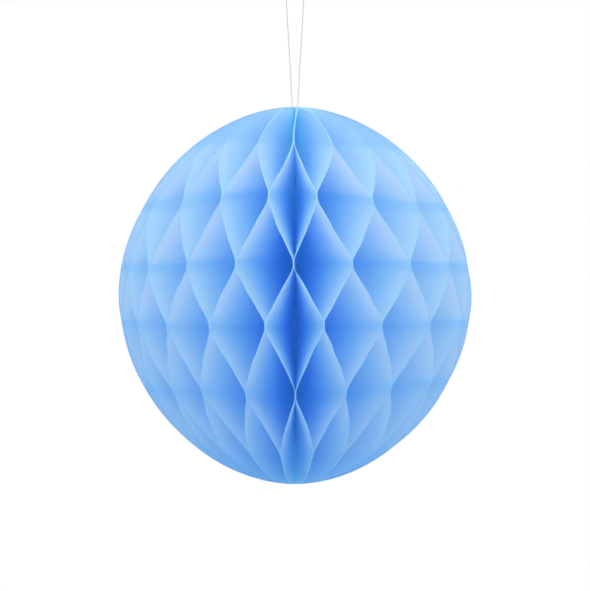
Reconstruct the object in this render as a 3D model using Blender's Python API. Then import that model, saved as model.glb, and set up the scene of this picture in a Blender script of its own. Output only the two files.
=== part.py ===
"""Honeycomb paper ball, opened right round and hung on a loop of thread.

The ball is a stack of tissue half discs between two half discs of card. The straight edges
are bound into a spine, and narrow bands of glue join each sheet to the next at levels that
take turns: one sheet's upper neighbour holds it half way between the bands of its lower one.
Fanned through a full turn, the sheets spring apart into diamond cells, and the two cards meet
and are stuck face to face. Each sheet then zigzags between two planes that stand on the axis,
and the planes that hold the bands are nine degrees apart on average.

Frame: metres, +Z up along the spine, origin at the middle of the ball. The front is at -Y,
and an azimuth is counted from there towards +X.
"""

from math import cos, pi, radians, sin, sqrt, tau

import bmesh
import bpy
import numpy as np

# The ball's outline, turned about the axis
BALL_HEIGHT = 0.200  # pole to pole
BALL_WIDTH = 0.1868  # across the equator
OUTLINE_POWER = 1.88  # 2 would be an ellipse; less draws the shoulders in

# The tissue and its bands of glue
SHEETS = 40
SHEET_THICKNESS = 0.0002  # drawn thicker than real tissue, so that it is a sound solid
GLUE_WIDTH = 0.005  # height of a band
GLUE_HEIGHTS = (  # middles of the bands on the flat sheet, from the equator, odd planes first
    -0.0855,
    -0.0524,
    -0.0170,
    0.0170,
    0.0519,
    0.0820,
)
GLUE_PITCH = (GLUE_HEIGHTS[-1] - GLUE_HEIGHTS[0]) / (len(GLUE_HEIGHTS) - 1)  # on average
TOUCHING_GAP = 0.0003  # between pieces that touch on the real ball
FAN_TURN = -0.5  # degrees by which the front plane stands off -Y
FAN_UNEVENNESS = 9.0  # degrees by which the rear planes have moved round, as the pleats settle

# The bound straight edges, and where the sheets start outside them
SPINE_RADIUS = 0.0037
SHEET_START = SPINE_RADIUS + TOUCHING_GAP
POLE_ROW_RADII = (0.0380, 0.0250, 0.0140, 0.0055)  # of the rows between the last band and a pole

# The two cards that are stuck together behind the ball
CARD_THICKNESS = 0.0004
CARD_START = 0.0080  # their straight edge, where the fanned sheets leave room for them
CARD_INSET = 0.0015  # how far they stay inside the tissue's outline
CARD_RIM_POINTS = 37

# The loop of thread
THREAD_DIAMETER = 0.0006
THREAD_ROUTE = (  # half width of the loop and height, from the spine's top to the apex
    (0.00140, 0.1001),
    (0.00155, 0.1035),
    (0.00192, 0.1093),
    (0.00240, 0.1200),
    (0.00310, 0.1306),
    (0.00372, 0.1413),
    (0.00440, 0.1530),
    (0.00470, 0.1590),
    (0.00430, 0.1638),
    (0.00260, 0.1668),
    (0.00000, 0.1680),
)
THREAD_POINTS = 49

TISSUE_BLUE = "8FC2FA"
CARD_WHITE = "EDEBE4"
THREAD_WHITE = "F4F3F0"
SPINE_BLUE = "5F9FE6"


def clear_scene():
    for thing in list(bpy.data.objects):
        bpy.data.objects.remove(thing, do_unlink=True)


def linear(hex_colour):
    """An sRGB hex colour as the linear values that a shader takes."""
    parts = [int(hex_colour[i : i + 2], 16) / 255 for i in (0, 2, 4)]
    return [c / 12.92 if c <= 0.04045 else ((c + 0.055) / 1.055) ** 2.4 for c in parts] + [1.0]


def make_material(name, hex_colour, roughness):
    material = bpy.data.materials.new(name)
    material.use_nodes = True
    shader = material.node_tree.nodes["Principled BSDF"]
    shader.inputs["Base Color"].default_value = linear(hex_colour)
    shader.inputs["Roughness"].default_value = roughness
    shader.inputs["Metallic"].default_value = 0.0
    return material


def add_object(name, data, material, parent):
    data.materials.append(material)
    thing = bpy.data.objects.new(name, data)
    bpy.context.scene.collection.objects.link(thing)
    thing.parent = parent
    return thing


def outline_height(radius):
    """Height of the ball's outline above the equator where its half width is radius."""
    share = (2 * radius / BALL_WIDTH) ** OUTLINE_POWER
    return BALL_HEIGHT / 2 * (1 - share) ** (1 / OUTLINE_POWER)


def opened_share(radius):
    """What is left of a flat height once the ball is open. The bands keep theirs, and the panels
    between them lean from one plane to the next, which are further apart away from the axis."""
    lean = 2 * radius * sin(pi / SHEETS)
    panel = GLUE_PITCH - GLUE_WIDTH
    return (GLUE_WIDTH + np.sqrt(panel**2 - lean**2)) / GLUE_PITCH


def rim_radius(flat_height):
    """Where a row at a flat height meets the outline, read from a dense run of outline points."""
    radii = BALL_WIDTH / 2 * np.cos(np.linspace(0, pi / 2, 721)) ** (2 / OUTLINE_POWER)
    flat = outline_height(radii) / opened_share(radii)
    return np.interp(np.abs(flat_height), flat, radii)


def flat_rows():
    """Flat heights of a sheet's rows: both edges of each band, the middle of each panel, and a
    few rows that follow the outline round to each pole."""
    levels = np.array(GLUE_HEIGHTS)
    edges = np.concatenate([levels - GLUE_WIDTH / 2, levels + GLUE_WIDTH / 2])
    middles = (levels[1:] + levels[:-1]) / 2
    poles = [outline_height(r) / opened_share(r) for r in POLE_ROW_RADII]
    return np.sort(np.concatenate([edges, middles, poles, np.negative(poles)]))


def plane_azimuth(plane):
    """Azimuth of a glue plane. The planes bunch a little on one side and spread on the other."""
    even = tau / SHEETS * plane
    return radians(FAN_TURN) + even + radians(FAN_UNEVENNESS) * (1 - np.cos(even))


def share_across(sheet, flat_height):
    """0 where a sheet is glued at its lower plane and 1 at its higher one, straight between."""
    bands = len(GLUE_HEIGHTS)
    edges = np.repeat(GLUE_HEIGHTS, 2) + np.tile([-GLUE_WIDTH / 2, GLUE_WIDTH / 2], bands)
    on_odd_plane = np.repeat([1.0, 0.0] * (bands // 2), 2)
    towards_odd = np.interp(flat_height, edges, on_odd_plane)
    return towards_odd if sheet % 2 == 0 else 1 - towards_odd


def seam_clearance(radius):
    """Extra distance that the first and last sheets keep from the seam, for the card."""
    full = TOUCHING_GAP + CARD_THICKNESS
    return full * np.clip((radius - SHEET_START) / (CARD_START - SHEET_START), 0, 1)


def sheet_surface(sheet):
    """Points of a sheet's middle surface, rows by columns. A point at radius r lies on the ray
    at the azimuth that its row's share gives, moved sideways by half a gap and half a sheet."""
    rows = flat_rows()
    rims = rim_radius(rows)
    at_seam = sheet in (-SHEETS // 2, SHEETS // 2 - 1)
    halfway = (SHEET_START + rims) / 2
    middle = np.minimum(halfway, CARD_START) if at_seam else halfway
    radius = np.stack([np.full_like(rims, SHEET_START), middle, rims], axis=1)

    share = share_across(sheet, rows)[:, None]
    low, high = plane_azimuth(sheet), plane_azimuth(sheet + 1)
    azimuth = low + share * (high - low)
    beside = (SHEET_THICKNESS + TOUCHING_GAP) / 2
    from_low = beside + (seam_clearance(radius) if sheet == -SHEETS // 2 else 0)
    from_high = beside + (seam_clearance(radius) if sheet == SHEETS // 2 - 1 else 0)
    sideways = (1 - share) * from_low - share * from_high

    x = radius * np.sin(azimuth) + sideways * np.cos(azimuth)
    y = -radius * np.cos(azimuth) + sideways * np.sin(azimuth)
    z = rows[:, None] * opened_share(radius)
    return np.stack([x, y, z], axis=-1)


def make_sheet(sheet, name, material, parent):
    points = sheet_surface(sheet)
    count, width = points.shape[:2]
    corner = np.arange(count * width).reshape(count, width)
    faces = np.stack([corner[:-1, :-1], corner[:-1, 1:], corner[1:, 1:], corner[1:, :-1]], axis=-1)
    mesh = bpy.data.meshes.new(name)
    mesh.from_pydata(points.reshape(-1, 3).tolist(), [], faces.reshape(-1, 4).tolist())
    mesh.shade_smooth()
    mesh.set_sharp_from_angle(angle=radians(12))
    thing = add_object(name, mesh, material, parent)
    wall = thing.modifiers.new("tissue thickness", "SOLIDIFY")
    wall.thickness = SHEET_THICKNESS
    wall.offset = 0.0
    return thing


def make_card(side, name, material, parent):
    """A half disc of card standing on the seam. side is 1 for the card of the first sheet and
    -1 for the card of the last, each on its own side of the seam's plane."""
    turn = np.linspace(-pi / 2, pi / 2, CARD_RIM_POINTS)
    rim = (BALL_WIDTH / 2 - CARD_INSET) * np.cos(turn) ** (2 / OUTLINE_POWER)
    tall = (BALL_HEIGHT / 2 - CARD_INSET) * np.abs(np.sin(turn)) ** (2 / OUTLINE_POWER)
    height = np.sign(turn) * tall
    inside = rim < CARD_START
    end = outline_height(CARD_START) - CARD_INSET
    radius = np.where(inside, CARD_START, rim)[1:-1]
    height = np.where(inside, np.sign(turn) * end, height)[1:-1]
    mesh = bpy.data.meshes.new(name)
    shape = bmesh.new()
    shape.faces.new([shape.verts.new((r, 0.0, z)) for r, z in zip(radius, height)])
    bmesh.ops.remove_doubles(shape, verts=shape.verts, dist=0.0001)
    shape.to_mesh(mesh)
    shape.free()
    thing = add_object(name, mesh, material, parent)
    azimuth = plane_azimuth(SHEETS // 2)
    aside = side * (CARD_THICKNESS + TOUCHING_GAP) / 2
    thing.rotation_euler = (0.0, 0.0, azimuth - pi / 2)
    thing.location = (aside * cos(azimuth), aside * sin(azimuth), 0.0)
    wall = thing.modifiers.new("card thickness", "SOLIDIFY")
    wall.thickness = CARD_THICKNESS
    wall.offset = 0.0
    return thing


def make_spine(name, material, parent):
    """The bound edges of all the sheets: a slim round rod from pole to pole."""
    mesh = bpy.data.meshes.new(name)
    shape = bmesh.new()
    length = 2 * outline_height(POLE_ROW_RADII[-1])
    bmesh.ops.create_cone(
        shape, cap_ends=True, segments=16, radius1=SPINE_RADIUS, radius2=SPINE_RADIUS, depth=length
    )
    shape.to_mesh(mesh)
    shape.free()
    mesh.shade_smooth()
    mesh.set_sharp_from_angle(angle=radians(40))
    return add_object(name, mesh, material, parent)


def smooth_route(points, count):
    """Evenly spaced points on a smooth curve through the given ones: a cubic that has, at each
    point, the slope of the line between its neighbours."""
    points = np.array(points)
    steps = np.linalg.norm(np.diff(points, axis=0), axis=1)
    along = np.concatenate([[0], np.cumsum(steps)])
    slope = np.gradient(points, along, axis=0)
    dense = np.linspace(0, along[-1], 40 * count)
    piece = np.clip(np.searchsorted(along, dense, side="right") - 1, 0, len(steps) - 1)
    t = ((dense - along[piece]) / steps[piece])[:, None]
    span = steps[piece][:, None]
    curve = (
        (2 * t**3 - 3 * t**2 + 1) * points[piece]
        + (t**3 - 2 * t**2 + t) * span * slope[piece]
        + (3 * t**2 - 2 * t**3) * points[piece + 1]
        + (t**3 - t**2) * span * slope[piece + 1]
    )
    run = np.concatenate([[0], np.cumsum(np.linalg.norm(np.diff(curve, axis=0), axis=1))])
    even = np.linspace(0, run[-1], count)
    return np.stack([np.interp(even, run, curve[:, k]) for k in range(curve.shape[1])], axis=1)


def make_thread(name, material, parent):
    """The loop: from the spine's top up one side, round the apex and down the other."""
    left = [(-half, height) for half, height in THREAD_ROUTE]
    right = [(-x, z) for x, z in reversed(left[:-1])]
    route = smooth_route(left + right, THREAD_POINTS)
    curve = bpy.data.curves.new(name, "CURVE")
    curve.dimensions = "3D"
    curve.bevel_depth = THREAD_DIAMETER / 2
    curve.bevel_resolution = 2
    curve.use_fill_caps = True
    spline = curve.splines.new("POLY")
    spline.points.add(len(route) - 1)
    for point, (x, z) in zip(spline.points, route):
        point.co = (x, 0.0, z, 1.0)
    return add_object(name, curve, material, parent)


def main():
    clear_scene()
    tissue = make_material("sky blue tissue", TISSUE_BLUE, 0.75)
    card = make_material("white card", CARD_WHITE, 0.60)
    glued_edges = make_material("glued tissue edges", SPINE_BLUE, 0.70)
    thread = make_material("white twisted thread", THREAD_WHITE, 0.65)

    ball = bpy.data.objects.new("ball", None)
    bpy.context.scene.collection.objects.link(ball)
    make_spine("spine_binding", glued_edges, ball)
    for number in range(SHEETS):
        make_sheet(number - SHEETS // 2, f"tissue_sheet_{number + 1:02d}", tissue, ball)
    make_card(1, "first_cover_card", card, ball)
    make_card(-1, "last_cover_card", card, ball)
    make_thread("hanging_thread", thread, ball)


main()
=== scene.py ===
# %% [markdown]
# # A honeycomb paper ball, in Blender
#
# The real object is a stack of forty half discs of tissue, bound along their straight edges and
# stuck to each other by short bands of glue. Fanned through a full turn, the stack opens into
# a ball of diamond cells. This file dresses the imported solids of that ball: it replaces each
# stiff stand-in sheet with thin, slightly uneven tissue that lets light through.

import bpy
import numpy as np
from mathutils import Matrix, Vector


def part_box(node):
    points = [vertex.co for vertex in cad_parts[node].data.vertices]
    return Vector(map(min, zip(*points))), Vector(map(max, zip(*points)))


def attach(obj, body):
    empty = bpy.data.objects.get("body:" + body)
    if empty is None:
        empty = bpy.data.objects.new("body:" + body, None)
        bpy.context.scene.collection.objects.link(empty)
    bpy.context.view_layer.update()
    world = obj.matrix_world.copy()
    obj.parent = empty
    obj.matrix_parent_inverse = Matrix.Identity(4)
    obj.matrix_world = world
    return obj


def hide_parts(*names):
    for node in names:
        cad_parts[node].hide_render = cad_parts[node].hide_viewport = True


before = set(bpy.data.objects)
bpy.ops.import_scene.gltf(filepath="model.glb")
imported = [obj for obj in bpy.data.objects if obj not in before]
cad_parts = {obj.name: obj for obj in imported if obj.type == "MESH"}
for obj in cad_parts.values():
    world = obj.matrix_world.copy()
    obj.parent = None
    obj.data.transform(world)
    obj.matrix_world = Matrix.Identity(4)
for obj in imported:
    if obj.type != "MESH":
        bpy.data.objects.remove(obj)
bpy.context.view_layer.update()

# %% [markdown]
# ## Sizes
#
# Everything follows from a few sizes of the real ball. The forty sheets hang between forty
# upright planes through the axis. Glue bands sit on every second plane at three levels, and on
# the planes between at three other levels, so each sheet zigzags from one plane to the next.

# %% Driving dimensions, in metres and degrees
MM = 0.001
BALL_HEIGHT = 200 * MM
BALL_WIDTH = 186.8 * MM
OUTLINE_POWER = 1.88  # 2 would be an ellipse; less draws the shoulders in
SHEETS = 40
GLUE_HEIGHTS = np.array([-85.5, -52.4, -17.0, 17.0, 51.9, 82.0]) * MM  # on the flat sheet
GLUE_PITCH = (GLUE_HEIGHTS[-1] - GLUE_HEIGHTS[0]) / (len(GLUE_HEIGHTS) - 1)  # on average
GLUE_WIDTH = 5.0 * MM  # height of a band
FAN_TURN = -0.5  # degrees by which the front plane stands off the camera's side
FAN_UNEVENNESS = 9.0  # degrees by which the rear planes have moved round
TISSUE_THICKNESS = 0.10 * MM
GLUE_LINE = 0.03 * MM  # dried glue between two sheets

spine_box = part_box("spine_binding")
SPINE_RADIUS = spine_box[1].x
print("spine:", round(2 * SPINE_RADIUS / MM, 1), "mm across, top at", round(spine_box[1].z / MM, 1), "mm")

# %% [markdown]
# ## The camera
#
# The photograph looks straight at the ball from about 85 cm, level with its middle. How much
# smaller the cells at the rim look than those in front is what gives the distance.

# %% Camera
CAMERA_DISTANCE = 852 * MM
LENS = 97.5  # millimetres
SENSOR = 36.0  # millimetres

camera = bpy.data.objects.new("camera", bpy.data.cameras.new("camera"))
camera.data.lens = LENS
camera.data.sensor_width = SENSOR
camera.data.clip_start = 10 * MM
camera.location = (0.0, -CAMERA_DISTANCE, 0.0)
camera.rotation_euler = (np.pi / 2, 0.0, 0.0)
bpy.context.scene.collection.objects.link(camera)
bpy.context.scene.camera = camera

# %% [markdown]
# ## Materials
#
# A material is a small graph of nodes. One helper adds a node, sets its values and links its
# inputs, and one turns an sRGB hex colour into the linear numbers that shaders work with.


# %% Helpers for materials
def linear(hex_colour):
    """An sRGB hex colour as linear red, green, blue and alpha."""
    parts = [int(hex_colour[i : i + 2], 16) / 255 for i in (0, 2, 4)]
    return [c / 12.92 if c <= 0.04045 else ((c + 0.055) / 1.055) ** 2.4 for c in parts] + [1.0]


def add_node(tree, kind, settings=None, **inputs):
    """Adds a node. settings are its own properties; an input takes a value or another socket.
    Inputs are named in lower case with underscores, or by number as input_0."""
    node = tree.nodes.new(kind)
    for name, value in (settings or {}).items():
        setattr(node, name, value)
    for name, value in inputs.items():
        if name.startswith("input_"):
            socket = node.inputs[int(name[6:])]
        else:
            socket = next(s for s in node.inputs if s.name.lower().replace(" ", "_") == name)
        if isinstance(value, bpy.types.NodeSocket):
            tree.links.new(value, socket)
        else:
            socket.default_value = value
    return node


def new_material(name):
    """An empty material and its tree of nodes."""
    material = bpy.data.materials.new(name)
    material.use_nodes = True
    material.node_tree.nodes.clear()
    return material, material.node_tree


# %% [markdown]
# ### Tissue
#
# Tissue paper is a thin felt of fibres, dyed right through. Some of the light that meets it
# comes back and more goes through, so a cell glows where its walls are lit from behind. A mix
# of a rough Principled shader and a Translucent one does both. The colour written here is much
# paler than the ball, because every bounce inside a cell makes the blue deeper.
#
# The fibres gather in faint clouds a few millimetres across. The cut edge is fluffed and
# thicker, so it shows as a pale line, and its own colour is deeper to keep that line blue. Near
# the spine the colour is painted paler. This is painted light, which keeps the deepest corners,
# where shade falls, from turning black.


# %% Tissue material
TISSUE_FACE = "C0EEFE"
TISSUE_CLOUD = "BAEBFE"
# painted light: near the spine the tissue is written paler, so the deep corners, where shade falls, stay
# light
PAINTED_LIGHT_BY_SPINE = "D6FAFE"
PAINTED_LIGHT_REACH = 24.0 * MM  # how far out from the spine the tissue is painted paler, as painted light in the deep corners
TISSUE_CUT_EDGE = "ABE5FF"
TISSUE_THROUGH = "FFFFFF"  # a skin takes nothing from light that passes it
TISSUE_LETS_THROUGH = 0.6
EDGE_LETS_THROUGH = 0.15  # the fluffed edge is thicker
EDGE_WIDTH = 0.6 * MM


def make_tissue():
    """Dyed tissue: matt and grainy close by, and glowing where light comes through."""
    material, tree = new_material("sky blue tissue paper")
    place = add_node(tree, "ShaderNodeTexCoord").outputs["Object"]
    clouds = add_node(
        tree, "ShaderNodeTexNoise", vector=place, scale=1 / (4 * MM), detail=3.0, roughness=0.6
    )
    colour = add_node(
        tree,
        "ShaderNodeMix",
        {"data_type": "RGBA"},
        input_0=clouds.outputs["Fac"],
        input_6=linear(TISSUE_FACE),
        input_7=linear(TISSUE_CLOUD),
    ).outputs[2]
    across = add_node(
        tree, "ShaderNodeVectorMath", {"operation": "MULTIPLY"}, input_0=place, input_1=(1, 1, 0)
    ).outputs["Vector"]
    from_axis = add_node(tree, "ShaderNodeVectorMath", {"operation": "LENGTH"}, input_0=across)
    # painted light: the colour turns paler towards the spine, against the shade in the deep corners
    painted_light_by_spine = add_node(
        tree,
        "ShaderNodeMapRange",
        {"interpolation_type": "SMOOTHSTEP"},
        value=from_axis.outputs["Value"],
        from_min=SPINE_RADIUS,
        from_max=SPINE_RADIUS + PAINTED_LIGHT_REACH,
        to_min=1.0,
        to_max=0.0,
    ).outputs["Result"]
    colour = add_node(
        tree,
        "ShaderNodeMix",
        {"data_type": "RGBA"},
        input_0=painted_light_by_spine,
        input_6=colour,
        input_7=linear(PAINTED_LIGHT_BY_SPINE),
    ).outputs[2]
    inside = add_node(tree, "ShaderNodeAttribute", {"attribute_name": "inside_rim"})
    at_edge = add_node(
        tree,
        "ShaderNodeMapRange",
        value=inside.outputs["Fac"],
        from_min=0.0,
        from_max=EDGE_WIDTH,
        to_min=1.0,
        to_max=0.0,
    ).outputs["Result"]
    colour = add_node(
        tree,
        "ShaderNodeMix",
        {"data_type": "RGBA"},
        input_0=at_edge,
        input_6=colour,
        input_7=linear(TISSUE_CUT_EDGE),
    ).outputs[2]
    fibres = add_node(
        tree, "ShaderNodeTexNoise", vector=place, scale=1 / (0.9 * MM), detail=4.0, roughness=0.65
    )
    relief = add_node(
        tree, "ShaderNodeBump", height=fibres.outputs["Fac"], strength=0.35, distance=0.05 * MM
    ).outputs["Normal"]
    face = add_node(
        tree,
        "ShaderNodeBsdfPrincipled",
        base_color=colour,
        roughness=0.85,
        specular_ior_level=0.15,
        normal=relief,
    )
    through = add_node(
        tree, "ShaderNodeBsdfTranslucent", color=linear(TISSUE_THROUGH), normal=relief
    )
    share = add_node(
        tree,
        "ShaderNodeMapRange",
        value=at_edge,
        to_min=TISSUE_LETS_THROUGH,
        to_max=EDGE_LETS_THROUGH,
    ).outputs["Result"]
    both = add_node(
        tree,
        "ShaderNodeMixShader",
        input_0=share,
        input_1=face.outputs["BSDF"],
        input_2=through.outputs["BSDF"],
    )
    add_node(tree, "ShaderNodeOutputMaterial", surface=both.outputs["Shader"])
    return material


tissue = make_tissue()
print("material:", tissue.name)

# %% [markdown]
# ### Card and thread
#
# The two covers are thick white card without a coating, pressed from pulp. It is matt, with a
# mottle so faint that it only takes the flatness off. The thread is spun from white cotton. It
# is dull, and its loose fibres give it a soft sheen against the light. Both are a Principled
# shader whose colour wanders between two hex values with a noise at the scale of the fibres.


# %% Card and thread materials
CARD_PALE = "F2F0EA"
CARD_MOTTLE = "E4E1D8"
COTTON_PALE = "ECE8E0"
COTTON_SHADE = "D2CEC6"


def make_card():
    """Uncoated card: matt, slightly mottled white."""
    material, tree = new_material("uncoated white card")
    place = add_node(tree, "ShaderNodeTexCoord").outputs["Object"]
    pulp = add_node(
        tree, "ShaderNodeTexNoise", vector=place, scale=1 / (1.5 * MM), detail=5.0, roughness=0.7
    )
    colour = add_node(
        tree,
        "ShaderNodeMix",
        {"data_type": "RGBA"},
        input_0=pulp.outputs["Fac"],
        input_6=linear(CARD_MOTTLE),
        input_7=linear(CARD_PALE),
    ).outputs[2]
    relief = add_node(
        tree, "ShaderNodeBump", height=pulp.outputs["Fac"], strength=0.3, distance=0.03 * MM
    ).outputs["Normal"]
    face = add_node(
        tree, "ShaderNodeBsdfPrincipled", base_color=colour, roughness=0.7, normal=relief
    )
    add_node(tree, "ShaderNodeOutputMaterial", surface=face.outputs["BSDF"])
    return material


def make_cotton():
    """Spun cotton: dull white, darker between the fibres, with a soft sheen."""
    material, tree = new_material("white spun cotton")
    place = add_node(tree, "ShaderNodeTexCoord").outputs["Object"]
    fibres = add_node(
        tree, "ShaderNodeTexNoise", vector=place, scale=1 / (0.25 * MM), detail=2.0, roughness=0.6
    )
    colour = add_node(
        tree,
        "ShaderNodeMix",
        {"data_type": "RGBA"},
        input_0=fibres.outputs["Fac"],
        input_6=linear(COTTON_SHADE),
        input_7=linear(COTTON_PALE),
    ).outputs[2]
    face = add_node(tree, "ShaderNodeBsdfPrincipled", base_color=colour, roughness=0.8)
    face.inputs["Sheen Weight"].default_value = 0.3
    add_node(tree, "ShaderNodeOutputMaterial", surface=face.outputs["BSDF"])
    return material


card = make_card()
cotton = make_cotton()
print("materials:", card.name, "and", cotton.name)

# %% [markdown]
# ### Glued edges
#
# The straight edges of all the sheets are gathered, stitched and glued in the middle of the
# ball. Glue has soaked the tissue there, so little light goes through. The surface is an
# opaque, matt light blue with a lumpy relief. It shows at the bottom of every cell, and as a
# small round end at each pole.

# %% Glued edges material
SPINE_BLUE = "AFDCFF"
SPINE_GLUE = "BCE6FF"


def make_glued_edges():
    """Tissue soaked with glue: opaque, matt and lumpy."""
    material, tree = new_material("glued and stitched tissue edges")
    place = add_node(tree, "ShaderNodeTexCoord").outputs["Object"]
    glue = add_node(
        tree, "ShaderNodeTexNoise", vector=place, scale=1 / (2.5 * MM), detail=3.0, roughness=0.6
    )
    colour = add_node(
        tree,
        "ShaderNodeMix",
        {"data_type": "RGBA"},
        input_0=glue.outputs["Fac"],
        input_6=linear(SPINE_BLUE),
        input_7=linear(SPINE_GLUE),
    ).outputs[2]
    relief = add_node(
        tree, "ShaderNodeBump", height=glue.outputs["Fac"], strength=0.4, distance=0.1 * MM
    ).outputs["Normal"]
    face = add_node(
        tree,
        "ShaderNodeBsdfPrincipled",
        base_color=colour,
        roughness=0.8,
        specular_ior_level=0.15,
        normal=relief,
    )
    add_node(tree, "ShaderNodeOutputMaterial", surface=face.outputs["BSDF"])
    return material


glued_edges = make_glued_edges()
print("material:", glued_edges.name)


# %% [markdown]
# ## Meshes from grids
#
# Each piece is a grid of points worked out at once. These helpers number the faces of a grid,
# and of a grid rolled up into a closed tube, and put the arrays into a mesh.


# %% Grid helpers
def grid_faces(rows, columns, first=0):
    """Corner numbers of a grid's quads, counted along rows from first."""
    corner = first + np.arange(rows * columns).reshape(rows, columns)
    quads = [corner[:-1, :-1], corner[:-1, 1:], corner[1:, 1:], corner[1:, :-1]]
    return np.stack(quads, axis=-1).reshape(-1, 4)


def tube_faces(rings, sides):
    """Corner numbers of a closed tube: its quads, the row that joins the last side to the first,
    and a cap at each end."""
    last = np.arange(rings - 1) * sides
    seam = np.stack([last + sides - 1, last, last + sides, last + 2 * sides - 1], axis=-1)
    faces = np.concatenate([grid_faces(rings, sides), seam]).tolist()
    return faces + [list(range(sides))[::-1], list(range((rings - 1) * sides, rings * sides))]


def make_piece(name, points, faces, material, replaced=()):
    """A mesh object at the origin that rides on the ball and takes a material slot's finish."""
    mesh = bpy.data.meshes.new(name)
    mesh.from_pydata(np.reshape(points, (-1, 3)).tolist(), [], faces)
    mesh.materials.append(material)
    piece = bpy.data.objects.new(name, mesh)
    bpy.context.scene.collection.objects.link(piece)
    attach(piece, "root")
    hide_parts(*replaced)
    return piece


# %% [markdown]
# ## The thread
#
# The ball hangs on a loop of thin white thread. Its two strands leave the top of the spine
# close together and spread upwards, and what holds the loop is above the picture. It is two
# plies twisted together, so its section is a figure of eight that turns along the path.

# %% Thread
THREAD_DIAMETER = 0.6 * MM
THREAD_TWIST = 2.2 * MM  # length of one turn of the two plies
THREAD_WAIST = 0.78  # share of the radius that is left between the plies
PLY_BULGE = 0.22  # share that a ply adds
THREAD_RINGS = 900
THREAD_SIDES = 12
FINE_STEPS = 8  # worked out on a smooth curve for each point that is kept
THREAD_ROUTE = (  # half width of the loop and height, from the spine's top to the apex
    (0.00140, 0.1001),
    (0.00155, 0.1035),
    (0.00192, 0.1093),
    (0.00240, 0.1200),
    (0.00310, 0.1306),
    (0.00372, 0.1413),
    (0.00440, 0.1530),
    (0.00470, 0.1590),
    (0.00430, 0.1638),
    (0.00260, 0.1668),
    (0.00000, 0.1680),
)


def distance_run(points):
    """How far along a line of points each of them is."""
    return np.concatenate([[0], np.cumsum(np.linalg.norm(np.diff(points, axis=0), axis=1))])


def smooth_route(points, count):
    """Evenly spaced points on a smooth curve through the given ones: a cubic that has, at each
    point, the slope of the line between its neighbours."""
    points = np.array(points)
    steps = np.linalg.norm(np.diff(points, axis=0), axis=1)
    along = distance_run(points)
    slope = np.gradient(points, along, axis=0)
    dense = np.linspace(0, along[-1], FINE_STEPS * count)
    piece = np.clip(np.searchsorted(along, dense, side="right") - 1, 0, len(steps) - 1)
    t = ((dense - along[piece]) / steps[piece])[:, None]
    span = steps[piece][:, None]
    curve = (
        (2 * t**3 - 3 * t**2 + 1) * points[piece]
        + (t**3 - 2 * t**2 + t) * span * slope[piece]
        + (3 * t**2 - 2 * t**3) * points[piece + 1]
        + (t**3 - t**2) * span * slope[piece + 1]
    )
    run = distance_run(curve)
    even = np.linspace(0, run[-1], count)
    return np.stack([np.interp(even, run, curve[:, k]) for k in range(curve.shape[1])], axis=1)


def thread_path(count):
    """The loop's middle line, up the left strand and down the right one."""
    left = [(-half, 0.0, height) for half, height in THREAD_ROUTE]
    right = [(-x, y, z) for x, y, z in reversed(left[:-1])]
    return smooth_route(left + right, count)


def make_thread():
    """A tube round the path. At angle a its radius is that of two plies side by side, which is
    largest along the line of their centres, and that line turns with the distance run."""
    path = thread_path(THREAD_RINGS)
    along = np.gradient(path, axis=0)
    along /= np.linalg.norm(along, axis=1, keepdims=True)
    across = np.cross(along, (0.0, 1.0, 0.0))
    depth = np.cross(across, along)
    run = distance_run(path)
    angle = np.arange(THREAD_SIDES) / THREAD_SIDES * 2 * np.pi
    turn = angle[None, :] - 2 * np.pi * run[:, None] / THREAD_TWIST
    plies = np.abs(np.cos(turn)) ** 1.5
    radius = THREAD_DIAMETER / 2 * (THREAD_WAIST + PLY_BULGE * plies)
    points = (
        path[:, None]
        + (radius * np.cos(angle))[..., None] * across[:, None]
        + (radius * np.sin(angle))[..., None] * depth[:, None]
    )
    faces = [corners[::-1] for corners in tube_faces(THREAD_RINGS, THREAD_SIDES)]
    piece = make_piece("thread_loop", points, faces, cotton, ["hanging_thread"])
    piece.data.shade_smooth()
    print("thread:", round(run[-1] / MM), "mm long")
    return piece


thread = make_thread()

# %% [markdown]
# ## The tissue sheets
#
# A sheet is worked out flat first and then opened. On the flat sheet a point has a distance
# from the straight edge and a height. Opening leaves the distance as it is. The height shrinks
# a little, because the panels between the bands now lean from one plane to the next.


# %% From flat sheet to open ball
RIM_ROUNDS = 12  # tries until a row's height and its rim agree


def outline_height(radius):
    """Height of the ball's outline where its half width is radius: a superellipse."""
    share = (2 * radius / BALL_WIDTH) ** OUTLINE_POWER
    return BALL_HEIGHT / 2 * (1 - share) ** (1 / OUTLINE_POWER)


def opened_share(radius):
    """What is left of a flat height once the ball is open: bands keep theirs, and a panel's is
    the upright side of a triangle whose slope is its flat height."""
    lean = 2 * radius * np.sin(np.pi / SHEETS)
    panel = GLUE_PITCH - GLUE_WIDTH
    return (GLUE_WIDTH + np.sqrt(panel**2 - lean**2)) / GLUE_PITCH


def outline_radius(height):
    """Half width of the ball's outline at a height: the same superellipse, solved for radius."""
    share = np.clip(2 * np.abs(height) / BALL_HEIGHT, 0, 1) ** OUTLINE_POWER
    return BALL_WIDTH / 2 * (1 - share) ** (1 / OUTLINE_POWER)


def rim_radius(flat_height, rise):
    """Where a row meets the outline. The row's height depends on the radius, so the two are
    tried in turn until they agree."""
    radius = outline_radius(flat_height)
    for _ in range(RIM_ROUNDS):
        radius = outline_radius(flat_height * opened_share(radius) + rise * radius / (BALL_WIDTH / 2))
    return radius


def plane_azimuth(plane):
    """Azimuth of a glue plane, from the front towards +X."""
    even = 2 * np.pi / SHEETS * plane
    return np.radians(FAN_TURN) + even + np.radians(FAN_UNEVENNESS) * (1 - np.cos(even))
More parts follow.
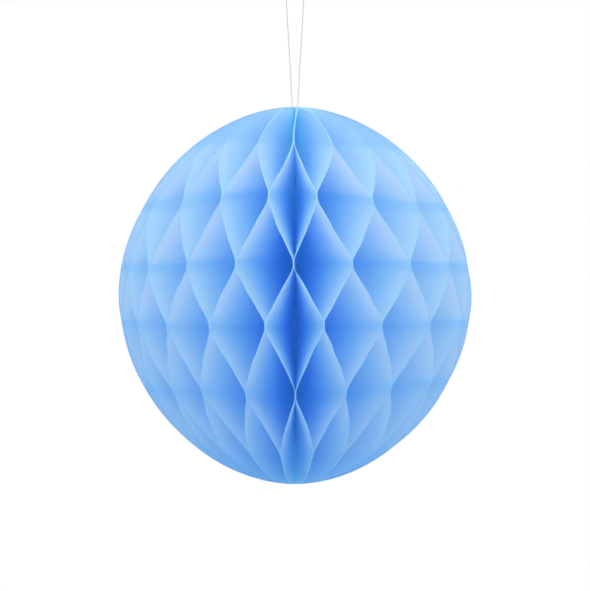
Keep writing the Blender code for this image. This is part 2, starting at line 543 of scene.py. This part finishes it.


# %% [markdown]
# Hand work and limp paper leave no two cells alike. In front, each bond is where the photograph
# shows it: its listed pixel gives a ray, and the ray meets the ball's outline in one
# point. Farther round, the bonds ease back to even places with small random shifts. Both sheets
# at a bond read the same shift, so they stay stuck together.

# %% Bonds seen in front
BONDS_SEEN = (  # for each band from the lowest: plane, then x and y in the 590 x 591 photograph
    ((-5, 233, 460), (-3, 253, 458), (-1, 282, 460), (1, 312, 458), (3, 340, 459), (5, 365, 460)),
    (
        (-6, 174, 394),
        (-4, 202, 392),
        (-2, 246, 395.5),
        (0, 295.5, 395.5),
        (2, 346, 393),
        (4, 391.5, 387.5),
        (6, 431, 384),
    ),
    (
        (-7, 137.5, 325),
        (-5, 167, 327),
        (-3, 209.5, 327.5),
        (-1, 265, 326),
        (1, 324, 325),
        (3, 382, 325.5),
        (5, 430.5, 325.5),
        (7, 462, 324),
    ),
    (
        (-6, 148, 269),
        (-4, 187, 266),
        (-2, 235.5, 264),
        (0, 293.5, 264),
        (2, 352.5, 264),
        (4, 410.5, 265),
        (6, 449.5, 267.5),
    ),
    (
        (-7, 152.5, 206),
        (-5, 182, 203),
        (-3, 221.5, 198),
        (-1, 268.5, 196),
        (1, 317, 196.5),
        (3, 373, 201.5),
        (5, 418, 207.5),
    ),
    ((-4, 230, 136.5), (-2, 261, 137), (0, 293.5, 137.5), (2, 330.5, 140.5), (4, 367, 143.5)),
)
FRAME_MIDDLE = (295.0, 295.5)  # pixels
FOCAL_PIXELS = LENS / SENSOR * 2 * FRAME_MIDDLE[1]
PIXEL_ROUNDS = 40  # tries until distance, height, radius and azimuth agree


def place_of_pixels(planes, x, y):
    """Azimuth, radius and height of points of the outline from their pixels. Distance, height,
    radius and azimuth depend on each other, so they are tried in turn until they agree."""
    azimuth = plane_azimuth(planes)
    radius = np.full_like(x, BALL_WIDTH / 2)
    for _ in range(PIXEL_ROUNDS):
        scale = (CAMERA_DISTANCE - radius * np.cos(azimuth)) / FOCAL_PIXELS
        height = (FRAME_MIDDLE[1] - y) * scale
        radius = outline_radius(height)
        azimuth = np.arcsin((x - FRAME_MIDDLE[0]) * scale / radius)
    return azimuth, radius, height


# %% Shifts of all the bonds
random = np.random.default_rng(11)
BAND_SHIFT = np.radians(0.4)  # of a bond that the photograph doesn't show, round the ball
BAND_RISE = 0.5 * MM  # and up or down
EASED_BY = 13  # plane, counted from the front, where the shifts seen in front have died away
LAST_SEEN = 8
PLANES = np.arange(-SHEETS // 2, SHEETS // 2)
SEAM = PLANES[0]  # the plane of the two cards, which are flat and keep their place


def settle(level, seen):
    """Shift and rise of the bonds of one band, a value for each plane."""
    planes, x, y = np.array(seen).T
    azimuth, radius, height = place_of_pixels(planes, x, y)
    shift = azimuth - plane_azimuth(planes)
    rise = (height - GLUE_HEIGHTS[level] * opened_share(radius)) * BALL_WIDTH / 2 / radius
    known = [-EASED_BY, *planes, EASED_BY]
    hidden = (np.abs(PLANES) > LAST_SEEN) & (PLANES != SEAM)
    shift = np.interp(PLANES, known, [0, *shift, 0]) + hidden * random.normal(0, BAND_SHIFT, SHEETS)
    rise = np.interp(PLANES, known, [0, *rise, 0]) + hidden * random.normal(0, BAND_RISE, SHEETS)
    return shift, rise


settled = [settle(level, seen) for level, seen in enumerate(BONDS_SEEN)]
band_shift = np.stack([shift for shift, rise in settled], axis=1)
band_rise = np.stack([rise for shift, rise in settled], axis=1)
END_LEAN = 0.8 * MM  # how far the unglued ends near the poles lean aside
FRONT_END_LEAN = 1.8 * MM  # of the pair above the top bond in front, towards +X
end_lean = random.normal(0, END_LEAN, (SHEETS, 2))
end_lean[PLANES == 0, 1] = FRONT_END_LEAN
end_lean[PLANES == SEAM] = 0.0
largest_shift = np.degrees(np.abs(band_shift).max())
largest_rise = np.abs(band_rise).max() / MM
print("largest shift", round(largest_shift, 1), "degrees, largest rise", round(largest_rise, 1), "mm")

# %% [markdown]
# A sheet is a grid. Its rows crowd where it bends, at the edges of the bands, and towards the
# poles, where the outline turns fastest.

# %% Rows of the grid
SHORTEST_ROW = SPINE_RADIUS + 0.3 * MM  # where the last row, at a pole, meets the outline
EDGE_CROWDING = 1.6  # rows at a band's edge for each row between the bands, beyond the first
EDGE_REACH = 2.2 * MM  # distance from a band's edge over which they thin out
POLE_CROWDING = 0.12
POLE_MARGIN = 0.04  # share of the height that keeps the crowding at the poles finite


def row_heights(count):
    """Flat heights of a sheet's rows: crowded at the edges of the bands and towards the poles,
    by inverting the running total of a density."""
    tallest = outline_height(SHORTEST_ROW)
    dense = np.linspace(-tallest, tallest, 4001)
    edges = np.concatenate([GLUE_HEIGHTS + s * GLUE_WIDTH / 2 for s in (-1, 1)])
    near_edge = np.exp(-(((dense[:, None] - edges) / EDGE_REACH) ** 2)).sum(axis=1)
    near_pole = POLE_CROWDING / (1 + POLE_MARGIN - np.abs(dense) / tallest)
    total = np.cumsum(1 + EDGE_CROWDING * near_edge + near_pole)
    return np.interp(np.linspace(total[0], total[-1], count), total, dense)


def along_bands(values, heights, softness=1.0 * MM):
    """A quantity that has one value on each band and eases straight between bands. The corners
    at the band edges are rounded off by averaging over a few millimetres."""
    bands = len(GLUE_HEIGHTS)
    edges = np.repeat(GLUE_HEIGHTS, 2) + np.tile([-GLUE_WIDTH / 2, GLUE_WIDTH / 2], bands)
    spread = np.linspace(-2.5, 2.5, 21)
    weight = np.exp(-(spread**2) / 2)
    samples = np.interp(heights[:, None] + spread * softness, edges, np.repeat(values, 2))
    return (samples * weight).sum(axis=1) / weight.sum()


# %% [markdown]
# Limp paper is never quite flat between its bonds. A few long waves that cross each other make
# such ripples. They are weak in front, where the photograph shows smooth walls, and stronger at
# the sides, where its cells look a little crumpled.

# %% Ripples of the panels
RIPPLE_FRONT = 0.25 * MM
RIPPLE_SIDE = 0.8 * MM
RIPPLE_PLANES = (5.0, 9.0)  # from the front: where the ripples start to grow and are full
RIPPLE_LENGTHS = np.array([13.0, 19.0, 27.0]) * MM
RIPPLE_EASE = 9.0 * MM  # distance from a band over which they grow
ripple_slant = random.uniform(-1.2, 1.2, (SHEETS, len(RIPPLE_LENGTHS)))
ripple_phase = random.uniform(0, 2 * np.pi, (SHEETS, len(RIPPLE_LENGTHS)))


def ripples(sheet, radius, flat):
    """Sideways ripples of a sheet: the mean of three sine waves, each with its own slant and
    phase, times twice the height of the ripples, because waves that cross partly cancel, times
    the square of the radius over the ball's. They die away at the bands, and near the poles,
    where the radius is small."""
    number = sheet + SHEETS // 2
    slant, phase = ripple_slant[number], ripple_phase[number]
    along = radius[..., None] * np.sin(slant) + flat[:, None, None] * np.cos(slant)
    waves = np.sin(2 * np.pi * along / RIPPLE_LENGTHS + phase).mean(axis=-1)
    height = np.interp(abs(sheet + 0.5), RIPPLE_PLANES, (RIPPLE_FRONT, RIPPLE_SIDE))
    from_band = np.abs(flat[:, None] - GLUE_HEIGHTS).min(axis=1) - GLUE_WIDTH / 2
    away = np.clip(from_band / RIPPLE_EASE, 0, 1)[:, None] ** 1.5
    return 2 * height * waves * away * (radius / (BALL_WIDTH / 2)) ** 2


# %% [markdown]
# Now one sheet. At every band it lies on one of its two planes, half a sheet and half a glue
# line beside it. Its azimuth, its height and that sideways step all ease from band to band.


# %% One sheet of tissue
ROWS, COLUMNS = 150, 26
SHEET_START = SPINE_RADIUS - 0.1 * MM  # the straight edge, a little way into the spine
FRAYED_WIDTH = 1.2 * MM  # the fluffed strip along the cut edge
FRAYED_THICKNESS = 0.28 * MM  # at the very edge
FRAYED_COLUMNS = 5
SEAM_ROOM = 0.60 * MM  # between the sheets beside the seam and its plane, for the card
SEAM_ROOM_STARTS = 4.0 * MM  # distances from the axis
SEAM_ROOM_FULL = 8.0 * MM


def glued_planes(sheet):
    """The plane that holds the sheet at each band: even and odd planes take turns."""
    on_odd_plane = np.arange(len(GLUE_HEIGHTS)) % 2 == 0
    low_is_odd = sheet % 2 == 1
    return np.where(on_odd_plane == low_is_odd, sheet, sheet + 1)


def seam_clearance(radius):
    """Room for the card, which the first and the last sheet leave beside the seam."""
    grown = (radius - SEAM_ROOM_STARTS) / (SEAM_ROOM_FULL - SEAM_ROOM_STARTS)
    return SEAM_ROOM * np.clip(grown, 0, 1)


def radii_of_rows(rim):
    """Radii of each row's points: even from the spine to the frayed strip, then crowded to the
    cut edge. Near the poles, where a row is short, the strip takes a third of it."""
    frayed = np.minimum(FRAYED_WIDTH, (rim - SHEET_START) / 3)[:, None]
    evenly = np.linspace(0, 1, COLUMNS - FRAYED_COLUMNS)
    inner = SHEET_START + evenly * (rim[:, None] - frayed - SHEET_START)
    outer = rim[:, None] - frayed * np.linspace(1, 0, FRAYED_COLUMNS + 1)[1:] ** 1.5
    return np.concatenate([inner, outer], axis=1)


def sheet_points(sheet):
    """The sheet's middle surface, half its thickness, its distance from the cut edge and its
    sideways direction. A point at radius r and azimuth a is at (r sin a, -r cos a), moved
    sideways along (cos a, sin a)."""
    flat = row_heights(ROWS)
    planes = glued_planes(sheet)
    slots = (planes + SHEETS // 2) % SHEETS
    levels = np.arange(len(GLUE_HEIGHTS))
    rise = along_bands(band_rise[slots, levels], flat)
    rim = np.maximum(rim_radius(flat, rise), SHORTEST_ROW)
    radius = radii_of_rows(rim)
    inside_rim = rim[:, None] - radius
    fluff = np.clip(1 - inside_rim / FRAYED_WIDTH, 0, 1) ** 2
    half = (TISSUE_THICKNESS + (FRAYED_THICKNESS - TISSUE_THICKNESS) * fluff) / 2

    azimuth = along_bands(plane_azimuth(planes) + band_shift[slots, levels], flat)[:, None]
    side = along_bands(np.where(planes == sheet, 1.0, -1.0), flat)[:, None]
    beside = half + GLUE_LINE / 2
    if sheet == -SHEETS // 2 or sheet == SHEETS // 2 - 1:
        at_seam = planes == (-SHEETS // 2 if sheet < 0 else SHEETS // 2)
        beside = beside + seam_clearance(radius) * along_bands(at_seam * 1.0, flat)[:, None]

    last_band = np.where(flat > 0, GLUE_HEIGHTS[-1], -GLUE_HEIGHTS[0]) + GLUE_WIDTH / 2
    free = np.clip((np.abs(flat) - last_band) / (flat[-1] - last_band), 0, 1)
    end = (flat > 0).astype(int)
    lean = (end_lean[slots[-end], end] * free)[:, None] * radius / rim[:, None]

    sideways = side * beside + lean + ripples(sheet, radius, flat)
    x = radius * np.sin(azimuth) + sideways * np.cos(azimuth)
    y = -radius * np.cos(azimuth) + sideways * np.sin(azimuth)
    z = flat[:, None] * opened_share(radius) + rise[:, None] * radius / (BALL_WIDTH / 2)
    aside = np.stack([np.cos(azimuth), np.sin(azimuth), 0 * azimuth], axis=-1)
    return np.stack([x, y, z], axis=-1), half, inside_rim, aside


def make_sheet(sheet, name, replaced):
    """Two skins half a thickness either side of the middle surface, joined round the edge."""
    middle, half, inside_rim, aside = sheet_points(sheet)
    step = half[..., None] * aside
    points = np.concatenate([(middle + step).reshape(-1, 3), (middle - step).reshape(-1, 3)])
    count = ROWS * COLUMNS
    high_skin = grid_faces(ROWS, COLUMNS)
    low_skin = grid_faces(ROWS, COLUMNS, count)[:, ::-1]
    corner = np.arange(count).reshape(ROWS, COLUMNS)
    edge = np.concatenate([corner[0, :], corner[1:, -1], corner[-1, -2::-1], corner[-2::-1, 0]])
    wall = np.stack([edge[1:], edge[:-1], edge[:-1] + count, edge[1:] + count], axis=-1)
    faces = np.concatenate([high_skin, low_skin, wall]).tolist()
    piece = make_piece(name, points, faces, tissue, [replaced])
    layer = piece.data.attributes.new("inside_rim", "FLOAT", "POINT")
    layer.data.foreach_set("value", np.tile(inside_rim.reshape(-1), 2))
    piece.data.shade_smooth()
    piece.data.set_sharp_from_angle(angle=np.radians(50))
    return piece


sheets = [
    make_sheet(number - SHEETS // 2, f"tissue_leaf_{number + 1:02d}", f"tissue_sheet_{number + 1:02d}")
    for number in range(SHEETS)
]
print(len(sheets), "sheets of", len(sheets[0].data.polygons), "faces")

# %% [markdown]
# ## The spine
#
# In the middle, the straight edges of all the sheets make one slim rod. A cylinder would do from
# afar, but the edges show as fine grooves, so the rod is a grid whose radius is a cosine of the
# angle, one wave for each sheet. Both ends close in a low dome, where the thread is tied in.


# %% Spine
SPINE_CROWN = 0.45 * MM  # how far its ends are domed
SPINE_ROWS = 60
CROWN_ROWS = 7  # of each dome
SPINE_SIDES = 320
GROOVE_DEPTH = 0.06  # share of the radius
TIP_SHARE = 0.02  # share of the radius that is left at the tip of a dome


def make_spine():
    """The gathered straight edges: a rod with a groove between each pair of sheets. Its ends are
    domed: over the last rows the radius shrinks to a tip as the height rises by the crown."""
    angle = np.arange(SPINE_SIDES) / SPINE_SIDES * 2 * np.pi
    crown_turn = np.linspace(0, np.pi / 2, CROWN_ROWS + 1)[1:]
    upper = spine_box[1].z + SPINE_CROWN * np.sin(crown_turn)
    lower = spine_box[0].z - SPINE_CROWN * np.sin(crown_turn)
    straight = np.linspace(spine_box[0].z, spine_box[1].z, SPINE_ROWS - 2 * CROWN_ROWS)
    height = np.concatenate([lower[::-1], straight, upper])
    shrink = np.maximum(np.cos(crown_turn), TIP_SHARE)
    shrink = np.concatenate([shrink[::-1], np.ones_like(straight), shrink])
    groove = SPINE_RADIUS * (1 - GROOVE_DEPTH / 2 * (1 - np.cos(angle * SHEETS)))
    radius = shrink[:, None] * groove
    points = np.stack(
        [
            radius * np.sin(angle),
            -radius * np.cos(angle),
            np.broadcast_to(height[:, None], radius.shape),
        ],
        axis=-1,
    )
    faces = tube_faces(SPINE_ROWS, SPINE_SIDES)
    return make_piece("bound_spine", points, faces, glued_edges, ["spine_binding"])


spine = make_spine()
print("spine:", len(spine.data.polygons), "faces")

# %% [markdown]
# ## The covers
#
# Two half discs of card close the stack and stand back to back behind the ball, stuck together.
# They are flat with a cut edge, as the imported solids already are, so the solids stay and only
# take their finish.

# %% Covers
for name in ("first_cover_card", "last_cover_card"):
    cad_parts[name].data.materials.clear()
    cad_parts[name].data.materials.append(card)
print("covers finished in", card.name)

# %% [markdown]
# ## Floor and light
#
# Tissue of one colour shows its cells by light alone. A large soft light above, a little warm,
# makes the upper walls pale. A weaker, cool one below fills the lower cells, and a small one on
# the camera's side reaches into the cells in front. A world shader is chosen over lamps: light
# gets into a deep cell only after many bounces, and lamps would leave noise there. To the
# camera, the world and the floor far below the hanging ball are plain white.


# %% Floor and light
FLOOR_RADIUS = 0.8
FLOOR_DROP = 2.0  # the ball hangs, so the floor is far below it
FLOOR_SIDES = 96
LIGHT_FROM_ABOVE = 1.76
ABOVE_TINT = "FFE8D8"
LIGHT_FROM_BELOW = 0.69
BELOW_TINT = "A4CFFF"
LIGHT_FALL = 2.4  # power with which the light falls off from the top
LIGHT_FROM_FRONT = 0.6
FRONT_FALL = 8.0  # power with which the front light falls off from the camera's side


def make_floor():
    """A pale disc that lights the ball from below as a floor does and looks white."""
    material, tree = new_material("pale studio floor")
    face = add_node(tree, "ShaderNodeBsdfDiffuse", color=linear("D8D8D8"))
    seen = add_node(tree, "ShaderNodeEmission", color=linear("FFFFFF"), strength=1.0)
    either = add_node(
        tree,
        "ShaderNodeMixShader",
        input_0=add_node(tree, "ShaderNodeLightPath").outputs["Is Camera Ray"],
        input_1=face.outputs["BSDF"],
        input_2=seen.outputs["Emission"],
    )
    add_node(tree, "ShaderNodeOutputMaterial", surface=either.outputs["Shader"])
    mesh = bpy.data.meshes.new("floor")
    around = np.linspace(0, 2 * np.pi, FLOOR_SIDES, endpoint=False)
    depth = np.full_like(around, -FLOOR_DROP)
    rim = np.stack([FLOOR_RADIUS * np.cos(around), FLOOR_RADIUS * np.sin(around), depth], axis=-1)
    mesh.from_pydata(rim.tolist(), [], [list(range(len(rim)))])
    mesh.materials.append(material)
    floor = bpy.data.objects.new("floor", mesh)
    bpy.context.scene.collection.objects.link(floor)
    return floor


def make_world():
    """Soft light from above and, weaker, from below and from the front, and plain white to the
    camera. Each part is 1 in its own direction and falls off as a power of the way to the
    opposite side."""
    world = bpy.data.worlds.new("soft white studio")
    bpy.context.scene.world = world
    world.use_nodes = True
    tree = world.node_tree
    tree.nodes.clear()
    direction = add_node(tree, "ShaderNodeTexCoord").outputs["Generated"]
    axes = add_node(tree, "ShaderNodeSeparateXYZ", vector=direction).outputs
    height = add_node(
        tree, "ShaderNodeMapRange", value=axes["Z"], from_min=-1.0, from_max=1.0
    ).outputs["Result"]
    upward = add_node(
        tree, "ShaderNodeMath", {"operation": "POWER"}, input_0=height, input_1=LIGHT_FALL
    ).outputs["Value"]
    nearness = add_node(
        tree, "ShaderNodeMapRange", value=axes["Y"], from_min=1.0, from_max=-1.0
    ).outputs["Result"]
    forward = add_node(
        tree, "ShaderNodeMath", {"operation": "POWER"}, input_0=nearness, input_1=FRONT_FALL
    ).outputs["Value"]
    front_level = add_node(
        tree, "ShaderNodeMath", {"operation": "MULTIPLY"}, input_0=forward, input_1=LIGHT_FROM_FRONT
    ).outputs["Value"]
    below = add_node(
        tree, "ShaderNodeBackground", color=linear(BELOW_TINT), strength=LIGHT_FROM_BELOW
    )
    above = add_node(
        tree, "ShaderNodeBackground", color=linear(ABOVE_TINT), strength=LIGHT_FROM_ABOVE
    )
    front = add_node(tree, "ShaderNodeBackground", color=linear("FFFFFF"), strength=front_level)
    up_and_down = add_node(
        tree,
        "ShaderNodeMixShader",
        input_0=upward,
        input_1=below.outputs["Background"],
        input_2=above.outputs["Background"],
    )
    lights = add_node(
        tree, "ShaderNodeAddShader", input_0=up_and_down.outputs[0], input_1=front.outputs[0]
    )
    seen = add_node(tree, "ShaderNodeBackground", color=linear("FFFFFF"), strength=1.0)
    to_camera = add_node(tree, "ShaderNodeLightPath").outputs["Is Camera Ray"]
    either = add_node(
        tree,
        "ShaderNodeMixShader",
        input_0=to_camera,
        input_1=lights.outputs["Shader"],
        input_2=seen.outputs["Background"],
    )
    add_node(tree, "ShaderNodeOutputWorld", surface=either.outputs["Shader"])


make_floor()
make_world()
print("light from above:", LIGHT_FROM_ABOVE)
print("light from below:", LIGHT_FROM_BELOW)
print("light from the front:", LIGHT_FROM_FRONT)

# %% [markdown]
# ## Bounces
#
# The tissue hardly takes anything from blue light, so that light bounces dozens of times in a
# cell before it is gone. With the usual few bounces it would be cut off early, and the cells
# would turn black towards the spine. The Standard view shows colours as they are written.

# %% Bounces and view
BOUNCES = 96
cycles = bpy.context.scene.cycles
cycles.max_bounces = BOUNCES
cycles.diffuse_bounces = BOUNCES
cycles.transmission_bounces = BOUNCES
bpy.context.scene.view_settings.view_transform = "Standard"
print("light bounces up to", BOUNCES, "times")
